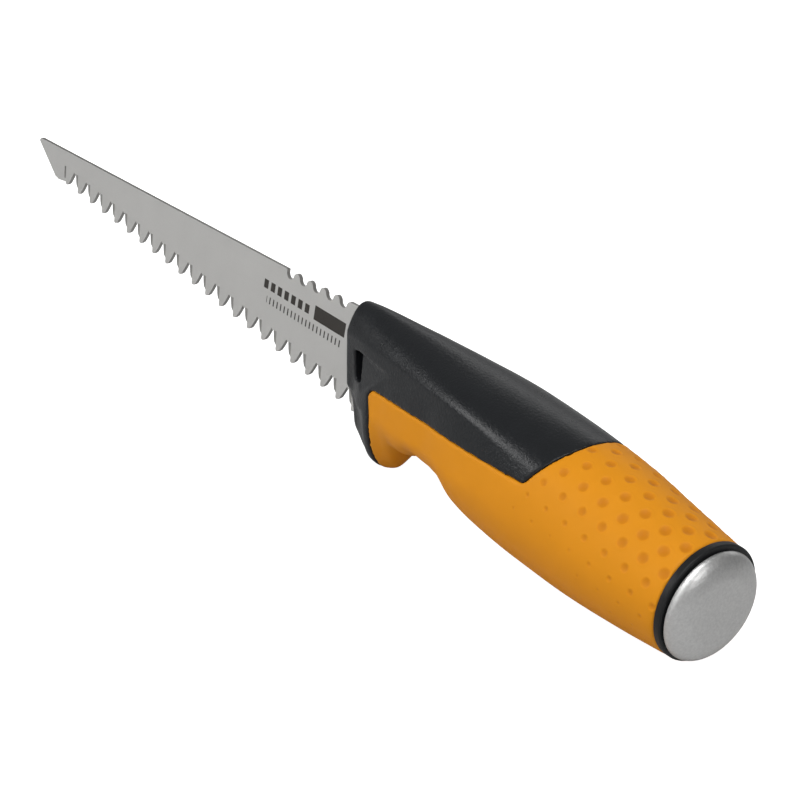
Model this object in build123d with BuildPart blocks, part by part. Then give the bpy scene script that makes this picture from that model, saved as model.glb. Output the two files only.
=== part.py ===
from build123d import *
from math import cos, hypot, radians, sin, tan
import os

# A drywall saw lying along X: strike cap at the back, blade tip at the front, spine up.
# The origin is the centre of the flat strike face. All sizes are in millimetres.

# ------------------------------------------------------------------ driving dimensions
# Blade
BLADE_THICKNESS = 1.0
TOOTH_PITCH = 6.35            # four teeth to the inch
TOOTH_COUNT = 22
TOOTH_LINE_TILT = 5.02        # degrees, the tooth line rises towards the tip
FIRST_TOOTH = (255.1, 4.45)   # x, z of the point of the front tooth
SPINE_START = (127.7, 18.5)  # x, z of a point on the spine just ahead of the handle
SPINE_TILT = 2.2              # degrees, the spine falls towards the tip
TIP_X = 270.6
SCALLOP_FIRST_X = 152.6       # bottom of the front scallop in the spine
SCALLOP_PITCH = 5.31
SCALLOP_COUNT = 5
SCALLOP_RADIUS = 1.45
SCALLOP_DEPTH = 2.2
BUMP_RADIUS = SCALLOP_PITCH / 2 - SCALLOP_RADIUS   # round top of the bump behind each scallop
TANG_HOLES = [(73.3, 7.0), (84.3, 7.5), (108.3, 9.0)]   # x, z, where the core grips the tang
TANG_HOLE_RADIUS = 2.5

# Strike cap, seal and collar
CAP_HALF_WIDTH = 13.18
CAP_HALF_HEIGHT = 12.56
CAP_LENGTH = 3.4
CAP_ROUNDING = 3.2
SEAL_LENGTH = 0.4
SEAL_RECESS = 0.9
COLLAR_LENGTH = 1.8
COLLAR_HALF_WIDTH = 14.06
COLLAR_HALF_HEIGHT = 13.45
COLLAR_CENTRE_Z = 0.33
COLLAR_ROUNDING = 0.6

# Tang stud: a steel rod that carries a hammer blow from the cap to the tang
STUD_RADIUS = 4.0
STUD_START = 1.8
STUD_END = 34.3
STUD_SLOT_START = 18.3
STUD_PIN_X = 26.3
STUD_PIN_RADIUS = 1.5
TANG_PIN_RADIUS = 2.0
TANG_PIN_PLACES = [(56.3, 5.0, 9.0), (96.3, 8.0, 6.5)]   # x, z, half length

# Handle
HANDLE_START = CAP_LENGTH + SEAL_LENGTH + COLLAR_LENGTH
GRIP_WALL = 2.4               # thickness of the soft layer over the hard core
REACH = 40.0                  # half width of the tools that cut across the whole handle

# One row per section of the handle. Each half section has three curves: a dome from the top
# to the crease, a side panel from the crease to its foot, and an underside back to the middle.
# x, top, bottom, crease y, crease z, foot y, foot z, underside tilt, underside fullness
STATIONS = [
    (HANDLE_START, 13.78, -13.1, 12.7, 6.0, 14.06, 0.33, 0, 0.56),
    (18.3, 16.3, -13.7, 13.6, 7.6, 15.3, 0.5, 0, 0.56),
    (34.3, 19.2, -14.1, 14.0, 10.6, 16.2, 1.5, 0, 0.56),
    (50.3, 20.6, -13.3, 13.9, 13.2, 16.3, 2.0, 0, 0.56),
    (64.3, 21.2, -11.9, 13.6, 14.8, 15.5, 2.0, 0, 0.56),
    (72.3, 21.5, -9.9, 13.2, 15.4, 14.6, 1.5, 0, 0.56),
    (78.3, 21.7, -5.8, 12.6, 15.5, 13.5, 1.8, 0, 0.54),
    (84.3, 21.8, -5.8, 11.8, 15.4, 12.0, 1.6, 0, 0.50),
    (90.3, 21.9, -4.6, 10.9, 15.3, 11.5, 0.9, 0, 0.54),
    (95.3, 21.9, -7.0, 10.1, 15.2, 10.7, 0.4, 0, 0.58),
    (99.3, 21.9, -7.4, 9.5, 15.1, 10.0, 0.2, 0, 0.54),
    (103.3, 21.8, -14.0, 8.9, 15.0, 9.1, 0.0, 3, 0.30),
    (108.3, 21.7, -15.6, 8.1, 14.8, 8.5, -0.7, -3, 0.42),
    (113.3, 21.6, -13.6, 7.3, 14.6, 7.0, -1.0, 34, 0.64),
    (118.3, 21.4, -10.9, 6.4, 14.3, 4.9, 0.7, 34, 0.62),
    (125.3, 20.7, -4.8, 5.0, 13.9, 4.3, 1.3, 68, 0.42),
]
DOME_TILT_BACK = 26.0         # degrees the dome leans in at the crease, at the collar
DOME_TILT_FRONT = 15.0        # the same at the nose
PANEL_ROUND_UNTIL = 43.3      # behind this the side panel is fully rounded
PANEL_FLAT_FROM = 78.3        # ahead of this it is flat, with a crisp crease
SECTION_COUNT = 40            # evenly spaced sections that the handle is lofted through
CORE_SECTION_COUNT = 24
CORE_END = 110.3              # front end of the slim core under the soft grip
NOSE_TOP = (125.0, 24.0)      # x, z of the raked nose face, above the spine
NOSE_FOOT = (120.7, -4.0)     # x, z of its lower end

# Soft grip outline in side view, as x, z
PARTING_LINE = [(109.5, 5.4), (78.3, 8.2), (48.1, 9.8)]   # under the black cover, front to back
COVER_TOP_X = 41.7            # where the cover's back edge crosses the top of the handle
COVER_TOP_Z = 20.1
GRIP_BEND = (106.7, -2.0)     # below this, the grip's front edge runs straight down the guard
GRIP_BEND_ROUNDING = 8.0
GRIP_EDGE_END_X = 109.8       # the same straight line at REACH below the axis
GRIP_FRONT_ROUNDING = 2.2
GRIP_BACK_ROUNDING = 1.2

# Catch recess for the sheath, one on each side of the nose: a three-cornered ramp that is
# deepest at its upper front corner, and a slot ahead of it
RAMP_BACK = (101.2, 9.3, 12.0)    # x, y, z of the corners of the ramp's floor
RAMP_LOW = (112.7, 7.3, 2.3)
RAMP_DEEP = (116.2, 5.3, 11.5)
SLOT_CORNERS = [(116.2, 11.6), (118.3, 11.1), (116.9, 4.2), (113.6, 4.6)]   # x, z
SLOT_FLOOR_Y = 3.4


def lerp(start, end, share):
    return start + (end - start) * share


def clamp(value):
    return max(0.0, min(1.0, value))


def column_slopes(column):
    """Slope of one column at each station, level wherever the column turns round."""
    steps = []
    for back, front in zip(STATIONS, STATIONS[1:]):
        steps.append((front[column] - back[column]) / (front[0] - back[0]))
    slopes = [steps[0]]
    for before, after in zip(steps, steps[1:]):
        same_way = before * after > 0
        slopes.append(2 * before * after / (before + after) if same_way else 0.0)
    return slopes + [steps[-1]]


SLOPES = [column_slopes(column) for column in range(len(STATIONS[0]))]


def section_at(x):
    """The section row at any x, on a smooth curve through the stations."""
    index = max(i for i, row in enumerate(STATIONS[:-1]) if row[0] <= x)
    back, front = STATIONS[index], STATIONS[index + 1]
    length = front[0] - back[0]
    t = (x - back[0]) / length
    ease = t * t * (3 - 2 * t)
    section = [x]
    for column in range(1, len(back)):
        slope_back, slope_front = SLOPES[column][index], SLOPES[column][index + 1]
        bend = slope_back * t * (1 - t) ** 2 - slope_front * t * t * (1 - t)
        section.append(lerp(back[column], front[column], ease) + length * bend)
    return section


def evenly(start, end, count):
    """Count + 1 evenly spaced values from start to end."""
    return [lerp(start, end, step / count) for step in range(count)] + [end]


def half_section(row):
    """Control points of the dome, side panel and underside of one half section."""
    x, top, bottom, crease_y, crease_z, foot_y, foot_z, under_tilt, fullness = row
    along = (x - HANDLE_START) / (STATIONS[-1][0] - HANDLE_START)
    dome_tilt = radians(lerp(DOME_TILT_BACK, DOME_TILT_FRONT, along))
    flatness = clamp((x - PANEL_ROUND_UNTIL) / (PANEL_FLAT_FROM - PANEL_ROUND_UNTIL))
    height = crease_z - foot_z
    panel_tilt = (foot_y - crease_y) / height
    upper_tilt = lerp(dome_tilt, panel_tilt, flatness)
    lower_tilt = lerp(0.0, panel_tilt, flatness)
    third = hypot(height, foot_y - crease_y) / 3
    dome_pull = 0.6 * (top - crease_z)
    under_pull = fullness * (foot_z - bottom)
    under = radians(under_tilt)
    dome = [
        (0, top),
        (0.45 * crease_y, top),
        (crease_y - dome_pull * sin(dome_tilt), crease_z + dome_pull * cos(dome_tilt)),
        (crease_y, crease_z),
    ]
    panel = [
        (crease_y, crease_z),
        (crease_y + third * sin(upper_tilt), crease_z - third * cos(upper_tilt)),
        (foot_y - third * sin(lower_tilt), foot_z + third * cos(lower_tilt)),
        (foot_y, foot_z),
    ]
    underside = [
        (foot_y, foot_z),
        (foot_y - under_pull * sin(under), foot_z - under_pull * cos(under)),
        (fullness * foot_y, bottom),
        (0, bottom),
    ]
    return dome, panel, underside


def along_spine(x):
    """Height of the spine line at x."""
    return SPINE_START[1] - (x - SPINE_START[0]) * tan(radians(SPINE_TILT))


def tooth_point(index, back, up):
    """A point near tooth number index, given back along the tooth line and up square to it."""
    tilt = radians(TOOTH_LINE_TILT)
    distance = index * TOOTH_PITCH + back
    x = FIRST_TOOTH[0] - distance * cos(tilt) - up * sin(tilt)
    z = FIRST_TOOTH[1] - distance * sin(tilt) + up * cos(tilt)
    return (x, z)


# ------------------------------------------------------------------------------- blade
# Outline of one tooth: back from the point along the tooth line, and up into the blade.
TOOTH_FRONT = [(-2.1, 2.55), (-1.55, 1.75), (-0.45, 1.4), (-0.3, 0.35)]
TOOTH_POINT = [(0.0, 0.0), (0.55, 0.1), (1.35, 0.9), (2.1, 2.5)]
GULLET = [(2.85, 4.5), (3.1, 4.8), (3.35, 4.6)]
FIRST_TOOTH_FRONT = [(-0.35, 0.65)]

# A facet is ground into both sides of each tooth's front edge. It starts at a line on the
# side face and gets deeper forwards.
FACET_FOOT = (-0.55, 1.57)
FACET_HEAD = (-1.25, 4.85)
FACET_REACH = 2.1
FACET_DEPTH = 0.47
FIRST_FACET_REACH = 0.7
CLEARANCE = 0.3               # how far a cutting tool stands clear of the blade

teeth_outline = []
for index in range(TOOTH_COUNT):
    front = TOOTH_FRONT if index > 0 else FIRST_TOOTH_FRONT
    teeth_outline += [tooth_point(index, *place) for place in front + TOOTH_POINT + GULLET]

# The toe below the tip, and the tang hidden in the handle, as x, z.
TOE = [(260.8, 4.95), (259.0, 4.6), (257.2, 4.8)]
TANG_UNDERSIDE = [(116.3, -2.0), (110.3, 1.5), (58.3, 0.0), (42.3, -3.0), (STUD_SLOT_START, -3.0)]
TANG_TOP = [(STUD_SLOT_START, 3.0), (42.3, 3.0), (54.3, 11.0), (106.3, 15.0)]
TANG_SHOULDER_X = 116.3
TIP_BLUNTING = (0.7, 0.8)     # the corner cut off the tip, along and down


def facet_plane(index):
    """A plane square to the facet's inner line, its x forwards and its y out of the side face."""
    foot_x, foot_z = tooth_point(index, *FACET_FOOT)
    head_x, head_z = tooth_point(index, *FACET_HEAD)
    run, rise = head_x - foot_x, head_z - foot_z
    return Plane(
        origin=(foot_x, BLADE_THICKNESS / 2, foot_z),
        x_dir=(rise, 0, -run),
        z_dir=(run, 0, rise),
    )


with BuildPart() as facet_cutters:
    for index in range(TOOTH_COUNT):
        reach = FACET_REACH if index > 0 else FIRST_FACET_REACH
        with BuildSketch(facet_plane(index)):
            with BuildLine():
                Polyline(
                    (0, 0),
                    (reach, -FACET_DEPTH * reach / FACET_REACH),
                    (reach, CLEARANCE),
                    (0, CLEARANCE),
                    close=True,
                )
            make_face()
        extrude(amount=hypot(FACET_HEAD[0] - FACET_FOOT[0], FACET_HEAD[1] - FACET_FOOT[1]))
    mirror(about=Plane.XZ)

with BuildPart() as blade:
    with BuildSketch(Plane.XZ) as blade_face:
        with BuildLine():
            Polyline(
                *TOE,
                *teeth_outline,
                *TANG_UNDERSIDE,
                *TANG_TOP,
                (TANG_SHOULDER_X, along_spine(TANG_SHOULDER_X)),
                (TIP_X - TIP_BLUNTING[0], along_spine(TIP_X - TIP_BLUNTING[0])),
                (TIP_X, along_spine(TIP_X) - TIP_BLUNTING[1]),
                close=True,
            )
        make_face()
        for number in range(SCALLOP_COUNT):
            scallop_x = SCALLOP_FIRST_X - number * SCALLOP_PITCH
            valley_z = along_spine(scallop_x) - SCALLOP_DEPTH + SCALLOP_RADIUS
            with Locations((scallop_x, valley_z)):
                Circle(SCALLOP_RADIUS, mode=Mode.SUBTRACT)
            with Locations((scallop_x, valley_z)):
                Rectangle(
                    2 * SCALLOP_RADIUS,
                    2 * SCALLOP_DEPTH,
                    align=(Align.CENTER, Align.MIN),
                    mode=Mode.SUBTRACT,
                )
            bump_x = scallop_x - SCALLOP_PITCH / 2
            with Locations((bump_x, along_spine(bump_x) - BUMP_RADIUS)):
                Rectangle(
                    BUMP_RADIUS, SCALLOP_DEPTH, align=(Align.MIN, Align.MIN), mode=Mode.SUBTRACT
                )
                if number < SCALLOP_COUNT - 1:
                    Rectangle(
                        BUMP_RADIUS, SCALLOP_DEPTH, align=(Align.MAX, Align.MIN), mode=Mode.SUBTRACT
                    )
                Circle(BUMP_RADIUS)
        with Locations(*TANG_HOLES):
            Circle(TANG_HOLE_RADIUS, mode=Mode.SUBTRACT)
        with Locations(*[(x, z) for x, z, half in TANG_PIN_PLACES]):
            Circle(TANG_PIN_RADIUS, mode=Mode.SUBTRACT)
        with Locations((STUD_PIN_X, 0)):
            Circle(STUD_PIN_RADIUS, mode=Mode.SUBTRACT)
    extrude(amount=BLADE_THICKNESS / 2, both=True)
    add(facet_cutters.part, mode=Mode.SUBTRACT)
blade.part.label = "blade"

# ------------------------------------------------------- strike cap, seal ring, collar
with BuildPart() as strike_cap:
    with BuildSketch(Plane.YZ):
        Ellipse(CAP_HALF_WIDTH, CAP_HALF_HEIGHT)
    extrude(amount=CAP_LENGTH)
    fillet(strike_cap.faces().sort_by(Axis.X)[0].edges(), radius=CAP_ROUNDING)
    with BuildSketch(Plane.YZ.offset(STUD_START)):
        Circle(STUD_RADIUS)
    extrude(amount=CAP_LENGTH, mode=Mode.SUBTRACT)
strike_cap.part.label = "strike_cap"

with BuildPart() as seal_ring:
    with BuildSketch(Plane.YZ.offset(CAP_LENGTH)):
        Ellipse(CAP_HALF_WIDTH - SEAL_RECESS, CAP_HALF_HEIGHT - SEAL_RECESS)
        Circle(STUD_RADIUS, mode=Mode.SUBTRACT)
    extrude(amount=SEAL_LENGTH)
seal_ring.part.label = "seal_ring"

with BuildPart() as end_collar:
    with BuildSketch(Plane.YZ.offset(CAP_LENGTH + SEAL_LENGTH)):
        with Locations((0, COLLAR_CENTRE_Z)):
            Ellipse(COLLAR_HALF_WIDTH, COLLAR_HALF_HEIGHT)
    extrude(amount=COLLAR_LENGTH)
    fillet(end_collar.faces().sort_by(Axis.X)[0].edges(), radius=COLLAR_ROUNDING)
    with BuildSketch(Plane.YZ.offset(CAP_LENGTH)):
        Circle(STUD_RADIUS)
    extrude(amount=HANDLE_START, mode=Mode.SUBTRACT)
end_collar.part.label = "end_collar"

# -------------------------------------------------------------------- stud and pins
with BuildPart() as tang_stud:
    with BuildSketch(Plane.YZ.offset(STUD_START)):
        Circle(STUD_RADIUS)
    extrude(amount=STUD_END - STUD_START)
    with BuildSketch(Plane.XY.offset(-STUD_RADIUS)):
        with Locations((STUD_SLOT_START, 0)):
            Rectangle(REACH, BLADE_THICKNESS, align=(Align.MIN, Align.CENTER))
    extrude(amount=2 * STUD_RADIUS, mode=Mode.SUBTRACT)
    with BuildSketch(Plane.XZ):
        with Locations((STUD_PIN_X, 0)):
            Circle(STUD_PIN_RADIUS)
    extrude(amount=2 * STUD_RADIUS, both=True, mode=Mode.SUBTRACT)
tang_stud.part.label = "tang_stud"

with BuildPart() as stud_pin:
    with BuildSketch(Plane.XZ):
        with Locations((STUD_PIN_X, 0)):
            Circle(STUD_PIN_RADIUS)
    extrude(amount=STUD_RADIUS + 1, both=True)
stud_pin.part.label = "stud_pin"

with BuildPart() as tang_pins:
    for pin_x, pin_z, half_length in TANG_PIN_PLACES:
        with BuildSketch(Plane.XZ):
            with Locations((pin_x, pin_z)):
                Circle(TANG_PIN_RADIUS)
        extrude(amount=half_length, both=True)
tang_pins.part.label = "tang_pins"

# ------------------------------------------------------------------ handle outer shape
with BuildPart() as handle_blank:
    for x in evenly(STATIONS[0][0], STATIONS[-1][0], SECTION_COUNT):
        section = section_at(x)
        with BuildSketch(Plane.YZ.offset(x)):
            with BuildLine():
                for curve in half_section(section):
                    Bezier(*curve)
                Line((0, section[2]), (0, section[1]))
            make_face()
    loft()
    mirror(about=Plane.XZ)
    with BuildSketch(Plane.XZ):
        with BuildLine():
            Polyline(
                NOSE_TOP,
                NOSE_FOOT,
                (NOSE_FOOT[0], -REACH),
                (NOSE_TOP[0] + REACH, -REACH),
                (NOSE_TOP[0] + REACH, REACH),
                (NOSE_TOP[0], REACH),
                close=True,
            )
        make_face()
    extrude(amount=REACH, both=True, mode=Mode.SUBTRACT)

# Hard inner core under the soft grip: a slimmer body of elliptical sections.
with BuildPart() as inner_core:
    for x in evenly(HANDLE_START, CORE_END, CORE_SECTION_COUNT):
        section = section_at(x)
        with BuildSketch(Plane.YZ.offset(x)):
            with Locations((0, (section[1] + section[2]) / 2)):
                Ellipse(section[5] - GRIP_WALL, (section[1] - section[2]) / 2 - GRIP_WALL)
    loft()

# Side outline of the soft grip, cut across the whole handle.
with BuildPart() as grip_region:
    with BuildSketch(Plane.XZ) as grip_side:
        with BuildLine():
            parting = Spline(*PARTING_LINE)
            cover_slope = (PARTING_LINE[-1][0] - COVER_TOP_X) / (COVER_TOP_Z - PARTING_LINE[-1][1])
            cover_end_x = COVER_TOP_X - cover_slope * (REACH - COVER_TOP_Z)
            Polyline(
                parting @ 1,
                (cover_end_x, REACH),
                (0, REACH),
                (0, -REACH),
                (GRIP_EDGE_END_X, -REACH),
                GRIP_BEND,
                parting @ 0,
            )
        make_face()
        fillet(grip_side.vertices().sort_by_distance(PARTING_LINE[0])[0], radius=GRIP_FRONT_ROUNDING)
        fillet(grip_side.vertices().sort_by_distance(PARTING_LINE[-1])[0], radius=GRIP_BACK_ROUNDING)
        fillet(grip_side.vertices().sort_by_distance(GRIP_BEND)[0], radius=GRIP_BEND_ROUNDING)
    extrude(amount=REACH, both=True)
    add(inner_core.part, mode=Mode.SUBTRACT)

with BuildPart() as soft_grip:
    add(handle_blank.part)
    add(grip_region.part, mode=Mode.INTERSECT)
soft_grip.part.label = "soft_grip"

# Catch recesses on both sides of the nose.
ramp_edge = Vector(*RAMP_DEEP) - Vector(*RAMP_BACK)
ramp_plane = Plane(
    origin=RAMP_BACK,
    x_dir=ramp_edge,
    z_dir=ramp_edge.cross(Vector(*RAMP_LOW) - Vector(*RAMP_BACK)),
)
ramp_corners = [ramp_plane.to_local_coords(Vector(*corner)) for corner in (RAMP_BACK, RAMP_LOW, RAMP_DEEP)]

with BuildPart() as catch_cutter:
    with BuildSketch(ramp_plane):
        with BuildLine():
            Polyline(*[(corner.X, corner.Y) for corner in ramp_corners], close=True)
        make_face()
    extrude(amount=REACH / 4)
    with BuildSketch(Plane.XZ.offset(-SLOT_FLOOR_Y)):
        with BuildLine():
            Polyline(*SLOT_CORNERS, close=True)
        make_face()
    extrude(amount=-REACH / 4)
    mirror(about=Plane.XZ)

with BuildPart() as handle_core:
    add(handle_blank.part)
    add(grip_region.part, mode=Mode.SUBTRACT)
    add(catch_cutter.part, mode=Mode.SUBTRACT)
    for insert in (blade, tang_pins, stud_pin, tang_stud):
        add(insert.part, mode=Mode.SUBTRACT)
handle_core.part.label = "handle_core"

os.makedirs("parts", exist_ok=True)
PIECES = (
    blade,
    tang_pins,
    tang_stud,
    stud_pin,
    handle_core,
    soft_grip,
    end_collar,
    seal_ring,
    strike_cap,
)
for piece in PIECES:
    export_step(piece.part, f"parts/{piece.part.label}.step")
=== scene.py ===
from math import cos, pi, radians, sin, tan

import bmesh
import bpy
import numpy as np
from mathutils import Matrix, Vector
from mathutils.kdtree import KDTree


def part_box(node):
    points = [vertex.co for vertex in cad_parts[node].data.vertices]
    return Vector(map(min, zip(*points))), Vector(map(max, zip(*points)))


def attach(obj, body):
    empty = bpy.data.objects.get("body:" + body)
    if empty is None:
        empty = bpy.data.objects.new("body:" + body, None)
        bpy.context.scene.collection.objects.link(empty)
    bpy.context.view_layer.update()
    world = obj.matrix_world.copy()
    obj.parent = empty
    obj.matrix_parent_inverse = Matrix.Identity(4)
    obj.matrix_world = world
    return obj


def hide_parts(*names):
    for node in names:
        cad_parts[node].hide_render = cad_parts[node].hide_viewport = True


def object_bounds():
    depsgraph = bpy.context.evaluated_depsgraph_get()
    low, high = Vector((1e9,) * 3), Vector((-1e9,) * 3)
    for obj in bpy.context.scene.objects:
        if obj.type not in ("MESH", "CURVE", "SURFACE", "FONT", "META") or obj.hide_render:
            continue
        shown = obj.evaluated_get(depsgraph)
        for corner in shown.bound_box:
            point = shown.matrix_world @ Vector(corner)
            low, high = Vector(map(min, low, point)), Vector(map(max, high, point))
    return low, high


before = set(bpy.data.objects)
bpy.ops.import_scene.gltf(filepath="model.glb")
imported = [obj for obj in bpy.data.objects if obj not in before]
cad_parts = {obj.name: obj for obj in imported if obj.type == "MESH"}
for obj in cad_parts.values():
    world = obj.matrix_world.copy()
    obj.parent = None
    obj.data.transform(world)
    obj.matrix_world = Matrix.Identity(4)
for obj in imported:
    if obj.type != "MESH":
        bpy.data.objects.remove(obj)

# A drywall saw, lying along X with its spine up. The blade, the stud and the pins are shown as
# packed. The handle core, the soft grip, the collar, the seal and the strike cap are rebuilt here
# with rounded moulded edges, and the grip gets its dimples.
# Shapes are worked out in millimetres and become metres when a mesh is made.

MM = 0.001
CAD_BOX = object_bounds()


def low_mm(node):
    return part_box(node)[0] / MM


def high_mm(node):
    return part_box(node)[1] / MM


# ------------------------------------------------------------------ driving dimensions, mm
HANDLE_START = low_mm("soft_grip").x
COLLAR_START = low_mm("end_collar").x
SEAL_START = low_mm("seal_ring").x
CAP_HALF = (high_mm("strike_cap").y, high_mm("strike_cap").z)
SEAL_HALF = (high_mm("seal_ring").y, high_mm("seal_ring").z)
COLLAR_HALF = (high_mm("end_collar").y, (high_mm("end_collar").z - low_mm("end_collar").z) / 2)
COLLAR_CENTRE_Z = (high_mm("end_collar").z + low_mm("end_collar").z) / 2
CAP_ROUNDING_DEPTH = 3.3      # how far the cap's rounded rim reaches along X
CAP_ROUNDING_INSET = 5.0      # how far it reaches inwards, to the flat face
CAP_RIM_END = radians(55)     # the rim's curve stops here, short of level, at a faint edge
CAP_CENTRE_SHARE = 0.9        # inset of the flat face's innermost ring, over the half height
CAP_FRONT_INSETS = (0.1, 1.2, 4.0)   # rings of the cap's hidden front face
BAND_FACE_INSETS = (2.0, 5.0)        # rings of both faces of the collar and the seal
COLLAR_ROUNDING = 0.35
STUD_RADIUS = high_mm("tang_stud").z
STUD_START = low_mm("tang_stud").x
BLADE_HALF = high_mm("blade").y

# The handle's sections, as in part.py: x, top, bottom, crease y and z, foot y and z,
# underside tilt in degrees, underside fullness.
STATIONS = np.array([
    (5.6, 13.78, -13.1, 12.7, 6.0, 14.06, 0.33, 0, 0.56),
    (18.3, 16.3, -13.7, 13.6, 7.6, 15.3, 0.5, 0, 0.56),
    (34.3, 19.2, -14.1, 14.0, 10.6, 16.2, 1.5, 0, 0.56),
    (50.3, 20.6, -13.3, 13.9, 13.2, 16.3, 2.0, 0, 0.56),
    (64.3, 21.2, -11.9, 13.6, 14.8, 15.5, 2.0, 0, 0.56),
    (72.3, 21.5, -9.9, 13.2, 15.4, 14.6, 1.5, 0, 0.56),
    (78.3, 21.7, -5.8, 12.6, 15.5, 13.5, 1.8, 0, 0.54),
    (84.3, 21.8, -5.8, 11.8, 15.4, 12.0, 1.6, 0, 0.50),
    (90.3, 21.9, -4.6, 10.9, 15.3, 11.5, 0.9, 0, 0.54),
    (95.3, 21.9, -7.0, 10.1, 15.2, 10.7, 0.4, 0, 0.58),
    (99.3, 21.9, -7.4, 9.5, 15.1, 10.0, 0.2, 0, 0.54),
    (103.3, 21.8, -14.0, 8.9, 15.0, 9.1, 0.0, 3, 0.30),
    (108.3, 21.7, -15.6, 8.1, 14.8, 8.5, -0.7, -3, 0.42),
    (113.3, 21.6, -13.6, 7.3, 14.6, 7.0, -1.0, 34, 0.64),
    (118.3, 21.4, -10.9, 6.4, 14.3, 4.9, 0.7, 34, 0.62),
    (125.3, 20.7, -4.8, 5.0, 13.9, 4.3, 1.3, 68, 0.42),
])
DOME_TILT_BACK, DOME_TILT_FRONT = radians(26), radians(15)   # lean of the dome at the crease
DOME_PULL = 0.6               # how far the dome's curve runs straight up from the crease
DOME_FLAT_TOP = 0.45          # and how much of its width runs level across the top
PANEL_ROUND_UNTIL, PANEL_FLAT_FROM = 43.3, 78.3   # x between which the side panel flattens
GRIP_WALL = 2.4               # thickness of the soft layer over the hard core
CORE_END = 110.3
NOSE_TOP = (125.0, 24.0)      # x, z of the raked nose face
NOSE_FOOT = (120.7, -4.0)
RAKE = (NOSE_TOP[0] - NOSE_FOOT[0]) / (NOSE_TOP[1] - NOSE_FOOT[1])
NOSE_ROUNDING = 1.1
REACH = 40.0                  # half width of the tools that cut across the whole handle

# The soft grip's outline in side view, as x, z
PARTING_LINE = [(109.5, 5.4), (78.3, 8.2), (48.1, 9.8)]   # under the black cover, front to back
COVER_TOP = (41.7, 20.1)      # where the cover's back edge crosses the top of the handle
GRIP_BEND = (106.7, -2.0)     # below this, the grip's front edge runs straight down the guard
GRIP_BEND_ROUNDING = 8.0
GRIP_EDGE_END = (109.8, -REACH)
GRIP_FRONT_ROUNDING = 2.2
GRIP_BACK_ROUNDING = 1.2

# Catch recess on each side of the nose: the corners of the ramp's floor and of the slot ahead of it
RAMP_BACK, RAMP_LOW, RAMP_DEEP = (101.2, 9.3, 12.0), (112.7, 7.3, 2.3), (116.2, 5.3, 11.5)
SLOT_CORNERS = [(116.2, 11.6), (118.3, 11.1), (116.9, 4.2), (113.6, 4.6)]
SLOT_FLOOR_Y = 3.4

# The grip's dimples: rings of shallow dishes, each ring turned by half a step.
DIMPLES_PER_RING = 12
DIMPLE_RINGS = 15
DIMPLE_FIRST_X = 7.7
DIMPLE_RING_STEP = 3.0
DIMPLE_TURN = -0.1            # turn of the first ring, in dimple steps
DIMPLE_RING_BOW = 0.0024      # how far a ring leans back, per mm of arc squared
DIMPLE_DIAMETER = 2.9         # of the dimples on top, next to the collar
DIMPLE_FULL_ARC = 13.5        # mm round from the top, where they begin to shrink
DIMPLE_SHRINK_ROUND = 0.14    # loss of diameter per mm further round
DIMPLE_FULL_X = 13.3
DIMPLE_SHRINK_FORWARD = 0.018   # loss of diameter per mm further forward
DIMPLE_SMALLEST = 0.9
DIMPLE_VANISHING = 0.4        # where the rule gives less than this, there is no dimple
# The rest are shares of a dimple's radius.
DIMPLE_DEPTH = 0.26
DIMPLE_FULLNESS = 1.3         # 1 makes the dish a parabola, more leaves its edge flatter
DIMPLE_RIM = 0.04             # height of the faint raised rim
DIMPLE_RIM_PLACE, DIMPLE_RIM_WIDTH = 1.15, 0.2
DIMPLE_REACH = 1.6            # beyond this the grip isn't touched

# How finely the meshes are made
BLANK_RINGS = 150
BLANK_POINTS_PER_CURVE = 36
NOSE_RINGS = 7
CORE_RINGS, CORE_SIDES = 60, 96
PARTING_STEPS = 25
OUTLINE_POINTS_PER_CURVE = 60   # of the outlines that the dimples are spaced along
CAP_FLAT_RINGS, CAP_RIM_RINGS = 9, 24
CORE_VOXEL, CORE_SMOOTHING = 0.32, 6     # size in mm, rounds
GRIP_VOXEL, GRIP_SMOOTHING = 0.46, 7
SPLIT_SMOOTHING = 2           # more rounds for the grip once the faces at its dimples are split
SHARP = radians(40)           # edges bent by more than this stay crisp on the turned pieces


# ------------------------------------------------------------------------- mesh helpers
def make_piece(name, points, faces):
    """A mesh object from points in millimetres."""
    mesh = bpy.data.meshes.new(name)
    mesh.from_pydata([tuple(p) for p in np.asarray(points, float) * MM], [], faces)
    mesh.validate()
    piece = bpy.data.objects.new(name, mesh)
    bpy.context.scene.collection.objects.link(piece)
    work = bmesh.new()
    work.from_mesh(mesh)
    bmesh.ops.recalc_face_normals(work, faces=work.faces)
    work.to_mesh(mesh)
    work.free()
    return piece


def tube(name, rings, close_ends=True):
    """A closed skin over rings of points, all with the same count, capped or joined end to end."""
    rings = np.asarray(rings, float)
    count, sides = rings.shape[:2]
    faces = []
    spans = count - 1 if close_ends else count
    for ring in range(spans):
        here, there = ring * sides, (ring + 1) % count * sides
        for side in range(sides):
            after = (side + 1) % sides
            faces.append((here + side, here + after, there + after, there + side))
    if close_ends:
        faces.append(tuple(range(sides)))
        faces.append(tuple(range((count - 1) * sides, count * sides)))
    return make_piece(name, rings.reshape(-1, 3), faces)


def use_modifier(piece, kind, **settings):
    """Adds a modifier, applies it and leaves the result as the piece's own mesh."""
    modifier = piece.modifiers.new(kind.lower(), kind)
    for key, value in settings.items():
        setattr(modifier, key, value)
    graph = bpy.context.evaluated_depsgraph_get()
    result = bpy.data.meshes.new_from_object(piece.evaluated_get(graph))
    piece.modifiers.clear()
    old = piece.data
    piece.data = result
    bpy.data.meshes.remove(old)
    return piece


def boolean(piece, other, operation):
    return use_modifier(piece, "BOOLEAN", object=other, operation=operation, solver="MANIFOLD")


def copy_of(piece, name):
    twin = piece.copy()
    twin.data = piece.data.copy()
    twin.name = name
    bpy.context.scene.collection.objects.link(twin)
    return twin


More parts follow.
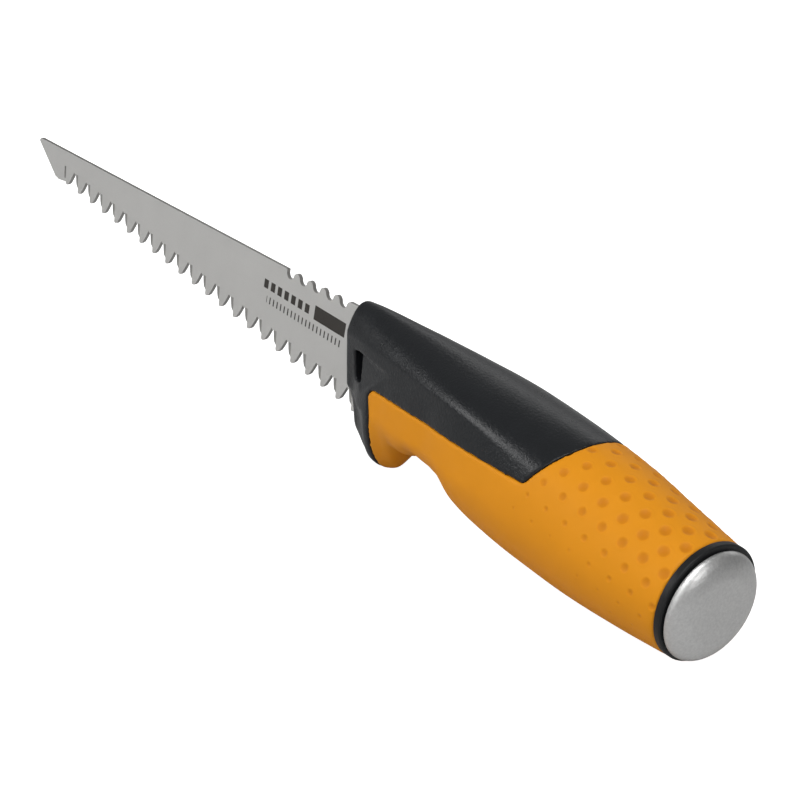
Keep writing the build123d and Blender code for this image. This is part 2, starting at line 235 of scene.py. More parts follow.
def discard(*pieces):
    for piece in pieces:
        bpy.data.objects.remove(piece)


def solid_of(node):
    """A watertight copy of a CAD node, for cutting the space that it fills."""
    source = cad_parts[node]
    mesh = source.data.copy()
    mesh.materials.clear()
    solid = bpy.data.objects.new("space_" + node, mesh)
    bpy.context.scene.collection.objects.link(solid)
    work = bmesh.new()
    work.from_mesh(mesh)
    bmesh.ops.remove_doubles(work, verts=work.verts, dist=1e-6)
    work.to_mesh(mesh)
    work.free()
    return solid


def points_of(piece):
    """The piece's points, in millimetres."""
    flat = np.zeros(len(piece.data.vertices) * 3)
    piece.data.vertices.foreach_get("co", flat)
    return flat.reshape(-1, 3) / MM


def set_points(piece, points):
    piece.data.vertices.foreach_set("co", (points * MM).ravel())
    piece.data.update()


def normals_of(piece):
    flat = np.zeros(len(piece.data.vertices) * 3)
    piece.data.vertices.foreach_get("normal", flat)
    return flat.reshape(-1, 3)


def shade_smooth(piece):
    piece.data.polygons.foreach_set("use_smooth", [True] * len(piece.data.polygons))


# ---------------------------------------------------------------------- handle surface
def column_slopes():
    """Slope of each column of STATIONS at each station, level wherever the column turns round."""
    steps = np.diff(STATIONS, axis=0) / np.diff(STATIONS[:, 0])[:, None]
    before, after = steps[:-1], steps[1:]
    total = np.where(before + after == 0, 1.0, before + after)
    inner = np.where(before * after > 0, 2 * before * after / total, 0.0)
    return np.vstack([steps[:1], inner, steps[-1:]])


SLOPES = column_slopes()


def section_at(x):
    """The section rows at each x, on a smooth curve through the stations."""
    index = np.clip(np.searchsorted(STATIONS[:, 0], x, "right") - 1, 0, len(STATIONS) - 2)
    back, front = STATIONS[index], STATIONS[index + 1]
    length = (front - back)[:, :1]
    t = (x[:, None] - back[:, :1]) / length
    ease = t * t * (3 - 2 * t)
    bend = SLOPES[index] * t * (1 - t) ** 2 - SLOPES[index + 1] * t * t * (1 - t)
    rows = back + (front - back) * ease + length * bend
    rows[:, 0] = x
    return rows.T


def bezier(controls, t):
    """Points of one cubic Bezier curve per row, as (y, z)."""
    (ay, az), (by, bz), (cy, cz), (dy, dz) = controls
    a, b, c, d = (1 - t) ** 3, 3 * (1 - t) ** 2 * t, 3 * (1 - t) * t * t, t ** 3
    return ay * a + by * b + cy * c + dy * d, az * a + bz * b + cz * c + dz * d


def handle_surface(x, turn):
    """y and z of the handle at x; turn runs from 0 at the top over 1 at the crease and 2 at
    the panel's foot to 3 at the bottom."""
    x, top, bottom, crease_y, crease_z, foot_y, foot_z, tilt, fullness = section_at(x)
    along = (x - HANDLE_START) / (STATIONS[-1, 0] - HANDLE_START)
    dome_tilt = DOME_TILT_BACK + (DOME_TILT_FRONT - DOME_TILT_BACK) * along
    flatness = np.clip((x - PANEL_ROUND_UNTIL) / (PANEL_FLAT_FROM - PANEL_ROUND_UNTIL), 0, 1)
    height = crease_z - foot_z
    panel_tilt = (foot_y - crease_y) / height
    upper_tilt = dome_tilt + (panel_tilt - dome_tilt) * flatness
    lower_tilt = panel_tilt * flatness
    third = np.hypot(height, foot_y - crease_y) / 3
    dome_pull = DOME_PULL * (top - crease_z)
    under_pull = fullness * (foot_z - bottom)
    under = np.radians(tilt)
    crease, foot = (crease_y, crease_z), (foot_y, foot_z)
    dome = [
        (0 * x, top),
        (DOME_FLAT_TOP * crease_y, top),
        (crease_y - dome_pull * np.sin(dome_tilt), crease_z + dome_pull * np.cos(dome_tilt)),
        crease,
    ]
    panel = [
        crease,
        (crease_y + third * np.sin(upper_tilt), crease_z - third * np.cos(upper_tilt)),
        (foot_y - third * np.sin(lower_tilt), foot_z + third * np.cos(lower_tilt)),
        foot,
    ]
    underside = [
        foot,
        (foot_y - under_pull * np.sin(under), foot_z - under_pull * np.cos(under)),
        (fullness * foot_y, bottom),
        (0 * x, bottom),
    ]
    part = np.clip(turn.astype(int), 0, 2)
    curves = [bezier(controls, turn - part) for controls in (dome, panel, underside)]
    y = np.choose(part, [curve[0] for curve in curves])
    z = np.choose(part, [curve[1] for curve in curves])
    return y, z


def full_turn(per_curve):
    """Turns down one side and up the other, with the side each is on."""
    down = np.linspace(0, 3, 3 * per_curve + 1)
    turns = np.concatenate([down, down[-2:0:-1]])
    sides = np.concatenate([np.ones(len(down)), -np.ones(len(down) - 2)])
    return turns, sides


def nose_x(z):
    """x of the raked nose face at each z."""
    return NOSE_FOOT[0] + RAKE * (z - NOSE_FOOT[1])


def handle_rings(shares, per_curve):
    """Rings of the handle's skin; a share of 0 is its back end and 1 the raked nose face."""
    turns, sides = full_turn(per_curve)
    rings = []
    for share in shares:
        z = np.zeros(len(turns))
        for _ in range(4):    # x depends on z where the nose is raked, so both settle together
            x = HANDLE_START + share * (nose_x(z) - HANDLE_START)
            y, z = handle_surface(x, turns)
        rings.append(np.column_stack([x, sides * y, z]))
    return np.array(rings)


def inset_ring(ring, distance):
    """The ring moved inwards by a distance, square to its own outline."""
    along = np.roll(ring, -1, axis=0) - np.roll(ring, 1, axis=0)
    outward = np.column_stack([0 * along[:, 0], -along[:, 2], along[:, 1]])
    outward /= np.linalg.norm(outward, axis=1)[:, None]
    centre = ring.mean(axis=0)
    outward *= np.sign(np.sum(outward * (ring - centre), axis=1).sum())
    moved = ring - outward * distance
    moved[:, 0] = ring[:, 0] - RAKE * (ring[:, 2] - moved[:, 2])
    return moved


def make_blank():
    """The whole handle's outer shape, with a rounded nose rim."""
    body_length = nose_x(np.array([0.0]))[0] - HANDLE_START
    straight = np.linspace(0, 1 - NOSE_ROUNDING / body_length, BLANK_RINGS)
    angles = np.linspace(0, pi / 2, NOSE_RINGS + 1)[1:]
    rounded = 1 - NOSE_ROUNDING / body_length * (1 - np.sin(angles))
    rings = handle_rings(np.concatenate([straight, rounded]), BLANK_POINTS_PER_CURVE)
    for ring, angle in zip(range(len(straight), len(rings)), angles):
        rings[ring] = inset_ring(rings[ring], NOSE_ROUNDING * (1 - cos(angle)))
    return tube("handle_blank", rings)


def make_inner_core():
    """The slim hard body that the soft grip is moulded over."""
    turns = np.linspace(0, 2 * pi, CORE_SIDES, endpoint=False)
    rings = []
    for x in np.linspace(HANDLE_START, CORE_END, CORE_RINGS):
        row = section_at(np.array([x]))[:, 0]
        top, bottom, foot_y = row[1], row[2], row[5]
        half_y = foot_y - GRIP_WALL
        half_z = (top - bottom) / 2 - GRIP_WALL
        centre_z = (top + bottom) / 2
        rings.append(np.column_stack([
            np.full(len(turns), x), half_y * np.cos(turns), centre_z + half_z * np.sin(turns)]))
    return tube("inner_core", rings)


def rounded_corner(before, corner, after, radius, steps=8):
    """Points of an arc that rounds one corner of an outline."""
    before, corner, after = (np.array(p, float) for p in (before, corner, after))
    to_before = (before - corner) / np.linalg.norm(before - corner)
    to_after = (after - corner) / np.linalg.norm(after - corner)
    half_angle = np.arccos(np.clip(to_before @ to_after, -1, 1)) / 2
    middle = (to_before + to_after) / np.linalg.norm(to_before + to_after)
    centre = corner + middle * radius / sin(half_angle)
    start = corner + to_before * radius / tan(half_angle) - centre
    end = corner + to_after * radius / tan(half_angle) - centre
    sweep = pi - 2 * half_angle
    weights = [(sin((1 - s) * sweep) / sin(sweep), sin(s * sweep) / sin(sweep))
               for s in np.linspace(0, 1, steps)]
    return [tuple(centre + a * start + b * end) for a, b in weights]


def parting_height(x):
    """Height of the line under the black cover: one parabola through its three points."""
    (xa, za), (xb, zb), (xc, zc) = PARTING_LINE
    return (za * (x - xb) * (x - xc) / ((xa - xb) * (xa - xc))
            + zb * (x - xa) * (x - xc) / ((xb - xa) * (xb - xc))
            + zc * (x - xa) * (x - xb) / ((xc - xa) * (xc - xb)))


def side_prism(name, outline):
    """A prism across the whole handle from an outline in side view, as x, z."""
    rings = [[(x, y, z) for x, z in outline] for y in (-REACH, REACH)]
    return tube(name, rings)


def make_grip_region():
    """Everything inside the soft grip's outline in side view. The parting line's first and last
    points lie under the rounded corners and are left out."""
    front, back = PARTING_LINE[0], PARTING_LINE[-1]
    line = [(x, parting_height(x)) for x in np.linspace(front[0], back[0], PARTING_STEPS)]
    cover_slope = (back[0] - COVER_TOP[0]) / (COVER_TOP[1] - back[1])
    cover_end = (COVER_TOP[0] - cover_slope * (REACH - COVER_TOP[1]), REACH)
    outline = [
        GRIP_EDGE_END,
        *rounded_corner(GRIP_EDGE_END, GRIP_BEND, front, GRIP_BEND_ROUNDING),
        *rounded_corner(GRIP_BEND, front, line[3], GRIP_FRONT_ROUNDING),
        *line[3:-2],
        *rounded_corner(line[-3], back, cover_end, GRIP_BACK_ROUNDING),
        cover_end,
        (0, REACH),
        (0, -REACH),
    ]
    return side_prism("grip_region", outline)


def cut_catch_recesses(piece):
    """A ramp on each side of the nose, deepest at its upper front corner, and a slot ahead of it."""
    ramp = np.array([RAMP_BACK, RAMP_LOW, RAMP_DEEP])
    outward = np.cross(ramp[2] - ramp[0], ramp[1] - ramp[0])
    outward *= REACH / 4 / np.linalg.norm(outward)
    slot = np.array([(x, SLOT_FLOOR_Y, z) for x, z in SLOT_CORNERS])
    for floor, depth in ((ramp, outward), (slot, np.array((0, REACH / 4, 0)))):
        for side in (1, -1):
            flip = (1, side, 1)
            cutter = tube("catch_cutter", [floor * flip, (floor + depth) * flip])
            boolean(piece, cutter, "DIFFERENCE")
            discard(cutter)


# ------------------------------------------------------------------------- handle pieces
def soften(piece, voxel, rounds):
    """Remeshes evenly and smooths, which rounds every edge a little as moulding does."""
    use_modifier(piece, "REMESH", mode="VOXEL", voxel_size=voxel * MM, adaptivity=0.0)
    use_modifier(piece, "SMOOTH", factor=0.5, iterations=rounds)
    shade_smooth(piece)


def dimple_places():
    """Centre and radius of every dimple of the grip."""
    turns, sides = full_turn(OUTLINE_POINTS_PER_CURVE)
    places = []
    for ring in range(DIMPLE_RINGS):
        ring_x = DIMPLE_FIRST_X + ring * DIMPLE_RING_STEP
        for step in range(DIMPLES_PER_RING):
            share = (step + ring % 2 / 2 + DIMPLE_TURN) / DIMPLES_PER_RING
            share -= round(share)
            x = ring_x
            for _ in range(3):    # the arc length depends on x, so both settle together
                y, z = handle_surface(np.full(len(turns), x), turns)
                outline = np.column_stack([sides * y, z])
                pieces = np.linalg.norm(np.roll(outline, -1, axis=0) - outline, axis=1)
                arc = np.concatenate([[0], np.cumsum(pieces)])
                x = ring_x - DIMPLE_RING_BOW * (share * arc[-1]) ** 2
            outline = np.vstack([outline, outline[:1]])
            place = [np.interp(share % 1 * arc[-1], arc, outline[:, k]) for k in (0, 1)]
            past_arc = max(0.0, abs(share) * arc[-1] - DIMPLE_FULL_ARC)
            past_x = max(0.0, x - DIMPLE_FULL_X)
            diameter = (DIMPLE_DIAMETER - DIMPLE_SHRINK_ROUND * past_arc
                        - DIMPLE_SHRINK_FORWARD * past_x)
            if diameter > DIMPLE_VANISHING:
                places.append((x, *place, max(diameter, DIMPLE_SMALLEST) / 2))
    return places


def dimple_tree(places):
    """Finds the dimple nearest to a point."""
    tree = KDTree(len(places))
    for index, (x, y, z, radius) in enumerate(places):
        tree.insert((x, y, z), index)
    tree.balance()
    return tree


def press_dimples(piece, places):
    """Presses each dimple in, and stores how deep in a dish each point is, scaled by the dimple's size, as
    the weight of the painted shade in the dimples.
    """
    tree = dimple_tree(places)
    points, normals = points_of(piece), normals_of(piece)
    dimple_shade_weight = np.zeros(len(points))
    last_x = DIMPLE_FIRST_X + DIMPLE_RINGS * DIMPLE_RING_STEP
    for index in np.nonzero(points[:, 0] < last_x)[0]:
        _, nearest, distance = tree.find(points[index])
        radius = places[nearest][3]
        reach = distance / radius
        if reach > DIMPLE_REACH:
            continue
        dish = max(0.0, 1 - reach ** 2)
        rim = np.exp(-((reach - DIMPLE_RIM_PLACE) / DIMPLE_RIM_WIDTH) ** 2)
        rise = DIMPLE_RIM * rim - DIMPLE_DEPTH * dish ** DIMPLE_FULLNESS
        points[index] += normals[index] * radius * rise
        dimple_shade_weight[index] = dish * 2 * radius / DIMPLE_DIAMETER
    set_points(piece, points)
    piece.data.attributes.new("dimple_shade_weight", "FLOAT", "POINT").data.foreach_set("value", dimple_shade_weight)


def split_faces_round_dimples(piece, places):
    """Splits the faces in and next to every dimple into four, for its fine shape."""
    tree = dimple_tree(places)
    work = bmesh.new()
    work.from_mesh(piece.data)
    near = set()
    for vert in work.verts:
        _, nearest, distance = tree.find(vert.co / MM)
        if distance < DIMPLE_REACH * places[nearest][3]:
            near.add(vert)
    edges = [e for e in work.edges if near.issuperset(e.verts)]
    bmesh.ops.subdivide_edges(work, edges=edges, cuts=1, use_grid_fill=True, smooth=0.0)
    bmesh.ops.triangulate(work, faces=[f for f in work.faces if len(f.verts) > 4])
    work.to_mesh(piece.data)
    work.free()
    shade_smooth(piece)


def make_handle():
    """The black handle core and the orange soft grip, cut from one outer shape. The dimples are
    pressed in last, so that nothing smooths them away."""
    blank = make_blank()
    region = make_grip_region()
    inner_core = make_inner_core()

    grip = copy_of(blank, "dimpled_grip")
    boolean(grip, region, "INTERSECT")
    soften(grip, GRIP_VOXEL, GRIP_SMOOTHING)
    places = dimple_places()
    split_faces_round_dimples(grip, places)
    use_modifier(grip, "SMOOTH", factor=0.5, iterations=SPLIT_SMOOTHING)
    boolean(grip, inner_core, "DIFFERENCE")
    press_dimples(grip, places)
    shade_smooth(grip)

    core = blank
    core.name = "moulded_core"
    boolean(core, region, "DIFFERENCE")
    cut_catch_recesses(core)
    soften(core, CORE_VOXEL, CORE_SMOOTHING)
    boolean(core, inner_core, "UNION")
    for node in ("blade", "tang_pins", "stud_pin", "tang_stud"):
        space = solid_of(node)
        boolean(core, space, "DIFFERENCE")
        discard(space)
    shade_smooth(core)
    discard(region, inner_core)
    return core, grip


# ---------------------------------------------------------- collar, seal and strike cap
def oval_ring(x, half, centre_z, inset=0.0, sides=144):
    """An elliptical ring at x, moved inwards by inset square to its outline."""
    turns = np.linspace(0, 2 * pi, sides, endpoint=False)
    half_y, half_z = half
    outward = np.column_stack([np.cos(turns) / half_y, np.sin(turns) / half_z])
    outward /= np.linalg.norm(outward, axis=1)[:, None]
    y = half_y * np.cos(turns) - inset * outward[:, 0]
    z = centre_z + half_z * np.sin(turns) - inset * outward[:, 1]
    return np.column_stack([np.full(sides, x), y, z])


def arc_rings(x, direction, half, centre_z, radius, steps):
    """Rings round a quarter arc of the given radius, from the end face at x to the side wall."""
    rings = []
    for angle in np.linspace(0, pi / 2, steps):
        depth = radius * (1 - sin(angle))
        inset = radius * (1 - cos(angle))
        rings.append(oval_ring(x + direction * depth, half, centre_z, inset))
    return rings[::-1]


def make_strike_cap():
    """A solid steel cap with a broad rounded rim, a flat face and a socket for the stud."""
    front = SEAL_START
    bore = (STUD_RADIUS, STUD_RADIUS)
    flat_insets = np.linspace(CAP_CENTRE_SHARE * min(CAP_HALF), CAP_ROUNDING_INSET, CAP_FLAT_RINGS)
    rings = [oval_ring(0, CAP_HALF, 0, inset) for inset in flat_insets]
    for angle in np.linspace(CAP_RIM_END, 0, CAP_RIM_RINGS)[1:]:
        depth = CAP_ROUNDING_DEPTH * (1 - sin(angle) / sin(CAP_RIM_END))
        inset = CAP_ROUNDING_INSET * (1 - cos(angle)) / (1 - cos(CAP_RIM_END))
        rings.append(oval_ring(depth, CAP_HALF, 0, inset))
    rings += [oval_ring(front, CAP_HALF, 0, inset) for inset in CAP_FRONT_INSETS]
    rings += [oval_ring(x, bore, 0) for x in (front, STUD_START)]
    return tube("steel_cap", rings)


def make_band(name, start, end, half, centre_z, edge_back, edge_front):
    """A ring with rounded outer edges round the stud."""
    bore = (STUD_RADIUS, STUD_RADIUS)
    rings = arc_rings(start, 1, half, centre_z, edge_back, steps=8)
    rings += arc_rings(end, -1, half, centre_z, edge_front, steps=8)[::-1]
    rings += [oval_ring(end, half, centre_z, inset) for inset in BAND_FACE_INSETS]
    rings += [oval_ring(end, bore, 0), oval_ring(start, bore, 0)]
    rings += [oval_ring(start, half, centre_z, inset) for inset in BAND_FACE_INSETS[::-1]]
    return tube(name, rings, close_ends=False)


def finish_turned(piece):
    """Smooth walls with crisp corners where faces meet squarely."""
    shade_smooth(piece)
    work = bmesh.new()
    work.from_mesh(piece.data)
    for edge in work.edges:
        if len(edge.link_faces) == 2 and edge.calc_face_angle() > SHARP:
            edge.smooth = False
    work.to_mesh(piece.data)
    work.free()


# ---------------------------------------------------------------------------- materials
class Nodes:
    """Builds one material's nodes with few words."""

    def __init__(self, name):
        self.material = bpy.data.materials.new(name)
        self.material.use_nodes = True
        self.tree = self.material.node_tree
        self.shader = self.tree.nodes["Principled BSDF"]
        place = self.tree.nodes.new("ShaderNodeTexCoord")
        self.place = place.outputs["Object"]

    def put(self, socket, value):
        """Sets a socket to a value or links it to another node's output."""
        if isinstance(value, bpy.types.NodeSocket):
            self.tree.links.new(value, socket)
        else:
            socket.default_value = value

    def add(self, kind, output=0, settings=None, **inputs):
        node = self.tree.nodes.new("ShaderNode" + kind)
        for key, value in (settings or {}).items():
            setattr(node, key, value)
        for key, value in inputs.items():
            self.put(node.inputs[key.replace("_", " ")], value)
        return node.outputs[output]

    def math(self, operation, first, second=0.0, third=0.0):
        node = self.tree.nodes.new("ShaderNodeMath")
        node.operation = operation
        for socket, value in zip(node.inputs, (first, second, third)):
            self.put(socket, value)
        return node.outputs[0]

    def noise(self, size_mm, detail=2.0, stretch=(1, 1, 1), seed=0.0, roughness=0.5):
        """Noise with features of about the given size."""
        scale = 1 / (size_mm * MM)
        mapping = self.add("Mapping", Vector=self.place)
        node = mapping.node
        node.inputs["Scale"].default_value = [scale * s for s in stretch]
        node.inputs["Location"].default_value = (seed, seed, seed)
        return self.add("TexNoise", Vector=mapping, Scale=1.0, Detail=detail, Roughness=roughness)

    def ramp(self, factor, stops):
        """A colour ramp; stops are (place, value or colour)."""
        node = self.tree.nodes.new("ShaderNodeValToRGB")
        self.put(node.inputs[0], factor)
        elements = node.color_ramp.elements
        while len(elements) < len(stops):
            elements.new(0.5)
        for element, (place, colour) in zip(elements, stops):
            element.position = place
            if not hasattr(colour, "__len__"):
                colour = (colour, colour, colour)
            element.color = (*colour, 1.0)
        return node.outputs[0]

    def mix(self, factor, first, second):
        node = self.tree.nodes.new("ShaderNodeMix")
        node.data_type = "RGBA"
        for socket, value in zip((node.inputs[0], node.inputs[6], node.inputs[7]), (factor, first, second)):
            if isinstance(value, tuple) and len(value) == 3:
                value = (*value, 1.0)
            self.put(socket, value)
        return node.outputs[2]

    def bump(self, height, depth_mm, strength=1.0):
        normal = self.add("Bump", Height=height, Strength=strength, Distance=depth_mm * MM)
        self.put(self.shader.inputs["Normal"], normal)

    def surface(self, colour, roughness, **fixed):
        """Colour and roughness may be linked; the rest are plain values on the shader."""
        if isinstance(colour, tuple) and len(colour) == 3:
            colour = (*colour, 1.0)
        self.put(self.shader.inputs["Base Color"], colour)
        self.put(self.shader.inputs["Roughness"], roughness)
        for key, value in fixed.items():
            self.shader.inputs[key.replace("_", " ")].default_value = value
        return self.material


def inside(nodes, value, low, high):
    """1 where a place in metres lies between two limits in millimetres, else 0."""
    over = nodes.math("GREATER_THAN", value, low * MM)
    under = nodes.math("LESS_THAN", value, high * MM)
    return nodes.math("MULTIPLY", over, under)


BLOCK = (129.1, 141.4, 9.1, 12.8)         # x from, x to, z from, z to of the solid block
BAR_ROW = (143.5, 163.3, 2.83, 0.62)      # x from, x to, step, share of a step that is marked
BAR_HEIGHTS = (9.6, 11.9)
TICK_ROW = (130.3, 160.5, 1.5, 0.3)
TICK_HEIGHTS = (6.1, 7.9)


def blade_marking(nodes):
    """A plain etched scale: one solid block, a row of bars and a finer row of ticks."""
    axes = nodes.add("SeparateXYZ", Vector=nodes.place).node
    x, y, z = axes.outputs
    block = nodes.math("MULTIPLY", inside(nodes, x, *BLOCK[:2]), inside(nodes, z, *BLOCK[2:]))
    mask = block
    for row, heights in ((BAR_ROW, BAR_HEIGHTS), (TICK_ROW, TICK_HEIGHTS)):
        start, end, step, share = row
        phase = nodes.math("WRAP", x, (start + step) * MM, start * MM)
        bar = nodes.math("LESS_THAN", phase, (start + step * share) * MM)
        span = inside(nodes, x, start, end)
        band = inside(nodes, z, *heights)
        bars = nodes.math("MULTIPLY", nodes.math("MULTIPLY", bar, span), band)
        mask = nodes.math("MAXIMUM", mask, bars)
    marked_side = nodes.math("GREATER_THAN", y, 0.9 * BLADE_HALF * MM)
    return nodes.math("MULTIPLY", mask, marked_side)


def blade_steel():
    nodes = Nodes("satin_blade_steel")
    grain = nodes.noise(0.16, detail=2, seed=3.1)
    cloud = nodes.noise(9, detail=3, seed=7.7)
    streak = nodes.noise(0.25, detail=2, stretch=(0.03, 1, 1), seed=1.3)
    tone = nodes.mix(cloud, (0.63, 0.624, 0.607), (0.70, 0.694, 0.676))
    tone = nodes.mix(nodes.ramp(grain, [(0.3, 0.0), (0.75, 0.35)]), tone, (0.78, 0.774, 0.757))
    # Painted shade: every face that doesn't face sideways, the facets ground into the teeth, the cut edges
    # and the spine, is coloured darker than the rolled side faces.
    facing = nodes.add("TexCoord", output="Normal")
    sideways = nodes.add("SeparateXYZ", output="Y", Vector=facing)
    painted_edge_shade = nodes.ramp(nodes.math("ABSOLUTE", sideways), [(0.98, 1.0), (0.995, 0.0)])
    tone = nodes.mix(painted_edge_shade, tone, (0.40, 0.394, 0.38))
    mask = blade_marking(nodes)
    ink = nodes.mix(grain, (0.022, 0.018, 0.014), (0.035, 0.03, 0.025))
    colour = nodes.mix(mask, tone, ink)
    metal = nodes.math("SUBTRACT", 1.0, nodes.math("MULTIPLY", mask, 0.8))
    nodes.put(nodes.shader.inputs["Metallic"], metal)
    rough = nodes.math("ADD", nodes.math("MULTIPLY", streak, 0.1), 0.40)
    nodes.bump(nodes.math("ADD", grain, nodes.math("MULTIPLY", streak, 0.4)), 0.01, 0.5)
    return nodes.surface(colour, rough)


def cap_steel():
    nodes = Nodes("blasted_cap_steel")
    grain = nodes.noise(0.7, detail=4, seed=2.2, roughness=0.7)
    cloud = nodes.noise(4, detail=3, seed=5.0)
    tone = nodes.mix(cloud, (0.56, 0.56, 0.555), (0.64, 0.64, 0.634))
    colour = nodes.mix(nodes.ramp(grain, [(0.35, 0.0), (0.65, 0.5)]), tone, (0.80, 0.80, 0.79))
    rough = nodes.math("ADD", nodes.math("MULTIPLY", grain, 0.2), 0.27)
    nodes.bump(grain, 0.09, 0.9)
    return nodes.surface(colour, rough, Metallic=1.0)


def pin_steel():
    nodes = Nodes("bright_pin_steel")
    turning = nodes.noise(0.3, detail=2, stretch=(1, 0.05, 1), seed=4.0)
    colour = nodes.mix(turning, (0.42, 0.42, 0.43), (0.55, 0.55, 0.56))
    rough = nodes.math("ADD", nodes.math("MULTIPLY", turning, 0.2), 0.2)
    nodes.bump(turning, 0.01, 0.4)
    return nodes.surface(colour, rough, Metallic=1.0)


def black_plastic():
    nodes = Nodes("grained_black_plastic")
    grain = nodes.noise(0.75, detail=3, seed=8.4, roughness=0.65)
    wear = nodes.noise(5, detail=4, seed=6.1)
    colour = nodes.mix(wear, (0.009, 0.010, 0.0115), (0.012, 0.0135, 0.0155))
    rough = nodes.math("ADD", nodes.math("MULTIPLY", wear, 0.08), 0.25)
    nodes.bump(grain, 0.09, 1.0)
    return nodes.surface(colour, rough, IOR=1.36)


def orange_rubber():
    nodes = Nodes("soft_orange_rubber")
    grain = nodes.noise(0.22, detail=3, seed=9.2, roughness=0.6)
    cloud = nodes.noise(7, detail=3, seed=1.9)
    tone = nodes.mix(cloud, (0.70, 0.262, 0.007), (0.75, 0.285, 0.009))
    speck = nodes.ramp(grain, [(0.62, 0.0), (0.8, 0.25)])
    grained = nodes.mix(speck, tone, (0.80, 0.34, 0.02))
    # Painted shade: the dimples are coloured a deeper orange the deeper in a dish a point lies, on top of
    # the real shade that their shape gets.
    dimple_shade_weight = nodes.add("Attribute", settings={"attribute_name": "dimple_shade_weight"}).node.outputs["Fac"]
    painted_dimple_shade = nodes.ramp(dimple_shade_weight, [(0.0, 0.0), (0.5, 0.7), (1.0, 1.0)])
    colour = nodes.mix(painted_dimple_shade, grained, (0.585, 0.198, 0.006))
    rough = nodes.math("ADD", nodes.math("MULTIPLY", grain, 0.12), 0.48)
    nodes.bump(grain, 0.02, 0.5)
    return nodes.surface(colour, rough, Specular_IOR_Level=0.16)


def seal_rubber():
    nodes = Nodes("matt_seal_rubber")
    grain = nodes.noise(0.3, detail=3, seed=0.7)
    colour = nodes.mix(grain, (0.003, 0.003, 0.003), (0.006, 0.006, 0.006))
    rough = nodes.math("ADD", nodes.math("MULTIPLY", grain, 0.2), 0.65)
    nodes.bump(grain, 0.02, 0.6)
    return nodes.surface(colour, rough, Specular_IOR_Level=0.2)


def collar_plastic():
    nodes = Nodes("satin_collar_plastic")
    grain = nodes.noise(0.2, detail=2, seed=3.9)
    cloud = nodes.noise(3, detail=2, seed=2.8)
    colour = nodes.mix(cloud, (0.007, 0.0075, 0.008), (0.010, 0.011, 0.012))
    rough = nodes.math("ADD", nodes.math("MULTIPLY", grain, 0.15), 0.36)
    nodes.bump(grain, 0.03, 0.8)
    return nodes.surface(colour, rough, IOR=1.36)


def floor_paper():
    """Pale matt paper that the camera sees overexposed, as on a white light table."""
    nodes = Nodes("pale_floor")
    fibre = nodes.noise(1.5, detail=4, seed=0.4)
    colour = nodes.mix(fibre, (0.58, 0.58, 0.58), (0.62, 0.62, 0.62))
    rough = nodes.math("ADD", nodes.math("MULTIPLY", fibre, 0.1), 0.8)
    seen = nodes.add("LightPath").node.outputs["Is Camera Ray"]
    nodes.put(nodes.shader.inputs["Emission Color"], (1, 1, 1, 1))
    nodes.put(nodes.shader.inputs["Emission Strength"], nodes.math("MULTIPLY", seen, FLOOR_GLOW))
    return nodes.surface(colour, rough, Specular_IOR_Level=0.1)


def dress(piece, material):
    """Gives a piece, or a CAD node, one material all over."""
    if not piece.data.materials:
        piece.data.materials.append(material)
    for slot in piece.material_slots:
        slot.link = "OBJECT"
        slot.material = material


# ------------------------------------------------------------- camera, floor and lights
CAMERA_PLACE = Vector((-0.26996, 0.34972, 0.21402))
CAMERA_RIGHT = Vector((-0.62322, -0.76600, 0.15760))
CAMERA_UP = Vector((0.39096, -0.13064, 0.91109))
CAMERA_BACK = Vector((-0.67731, 0.62943, 0.38089))
CAMERA_LENS = 106.19
FLOOR_GLOW = 0.95             # light added to the floor where the camera looks at it
# Brightness of the room by sine of the height above the horizon
ROOM_LEVELS = [(0.0, 0.35), (0.25, 0.2), (1.0, 0.3)]


def place_camera():
    data = bpy.data.cameras.new("camera")
    data.lens = CAMERA_LENS
    data.sensor_width = 36
    camera = bpy.data.objects.new("camera", data)
    turn = Matrix((CAMERA_RIGHT, CAMERA_UP, CAMERA_BACK)).transposed().to_4x4()
    camera.matrix_world = Matrix.Translation(CAMERA_PLACE) @ turn
    bpy.context.scene.collection.objects.link(camera)
    bpy.context.scene.camera = camera


def place_floor(height):
    half = 4000
    corners = [(x, y, height) for x, y in ((-half, -half), (half, -half), (half, half), (-half, half))]
    floor = make_piece("floor", corners, [(0, 1, 2, 3)])
    dress(floor, floor_paper())


def soft_light(name, place, target, size, power):
    """A square area light aimed at a point; place, target and size in metres."""
    data = bpy.data.lights.new(name, "AREA")
    data.shape = "RECTANGLE"
    data.size, data.size_y = size
    data.energy = power
    light = bpy.data.objects.new(name, data)
    light.location = place
    aim = Vector(target) - Vector(place)
    light.rotation_euler = aim.to_track_quat("-Z", "Y").to_euler()
    bpy.context.scene.collection.objects.link(light)


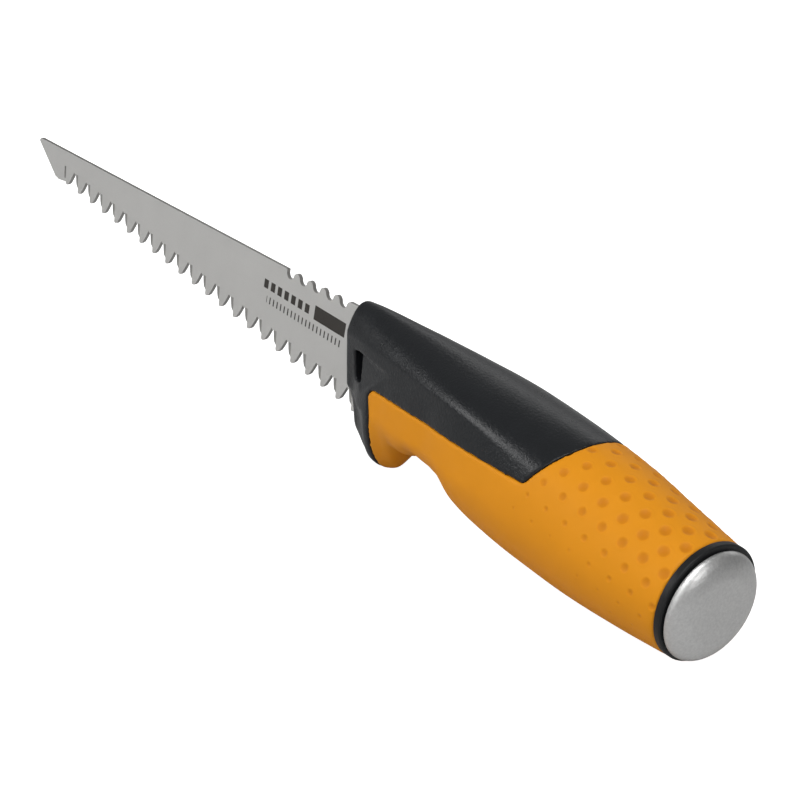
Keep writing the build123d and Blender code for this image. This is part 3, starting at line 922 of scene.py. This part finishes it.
def studio_world():
    """A room that is bright near the horizon and dim above."""
    world = bpy.data.worlds.new("studio")
    bpy.context.scene.world = world
    world.use_nodes = True
    tree = world.node_tree
    direction = tree.nodes.new("ShaderNodeTexCoord").outputs["Generated"]
    axes = tree.nodes.new("ShaderNodeSeparateXYZ")
    tree.links.new(direction, axes.inputs[0])
    ramp = tree.nodes.new("ShaderNodeValToRGB")
    tree.links.new(axes.outputs["Z"], ramp.inputs[0])
    elements = ramp.color_ramp.elements
    elements.new(0.5)
    for element, (rise, level) in zip(elements, ROOM_LEVELS):
        element.position = rise
        element.color = (level, level, level, 1)
    tree.links.new(ramp.outputs[0], tree.nodes["Background"].inputs["Color"])


def light_studio():
    middle = (0.1, 0.0, 0.0)
    soft_light("key", (-0.35, 0.5, 1.35), middle, (0.8, 0.8), 9.8)
    soft_light("front_fill", (-0.45, 1.05, 0.65), middle, (1.1, 1.1), 4.2)
    soft_light("back_band", (0.5, -0.9, 0.55), middle, (1.2, 0.25), 1.1)
    soft_light("left_low", (0.70, 0.68, 0.37), (0.06, 0.0, 0.015), (0.34, 0.34), 2.6)
    soft_light("right_spot", (-0.8, 0.02, 0.48), (0, 0, 0), (0.12, 0.12), 1.0)
    studio_world()
    bpy.context.scene.view_settings.view_transform = "Standard"


# ------------------------------------------------------------------------------ assembly
def show_as(piece, node, material):
    """The piece stands for a CAD node, moves with the saw and takes its finish."""
    dress(piece, material)
    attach(piece, "root")
    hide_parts(node)


core, grip = make_handle()
show_as(core, "handle_core", black_plastic())
show_as(grip, "soft_grip", orange_rubber())

cap = make_strike_cap()
seal = make_band("groove_seal", SEAL_START, COLLAR_START, SEAL_HALF, 0, 0.1, 0.1)
collar = make_band(
    "back_collar", COLLAR_START, HANDLE_START, COLLAR_HALF, COLLAR_CENTRE_Z, COLLAR_ROUNDING, 0.25)
for turned in (cap, seal, collar):
    finish_turned(turned)
show_as(cap, "strike_cap", cap_steel())
show_as(seal, "seal_ring", seal_rubber())
show_as(collar, "end_collar", collar_plastic())

steel = pin_steel()
dress(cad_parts["blade"], blade_steel())
for node in ("tang_stud", "stud_pin", "tang_pins"):
    dress(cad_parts[node], steel)

place_camera()
place_floor(CAD_BOX[0].z / MM)
light_studio()
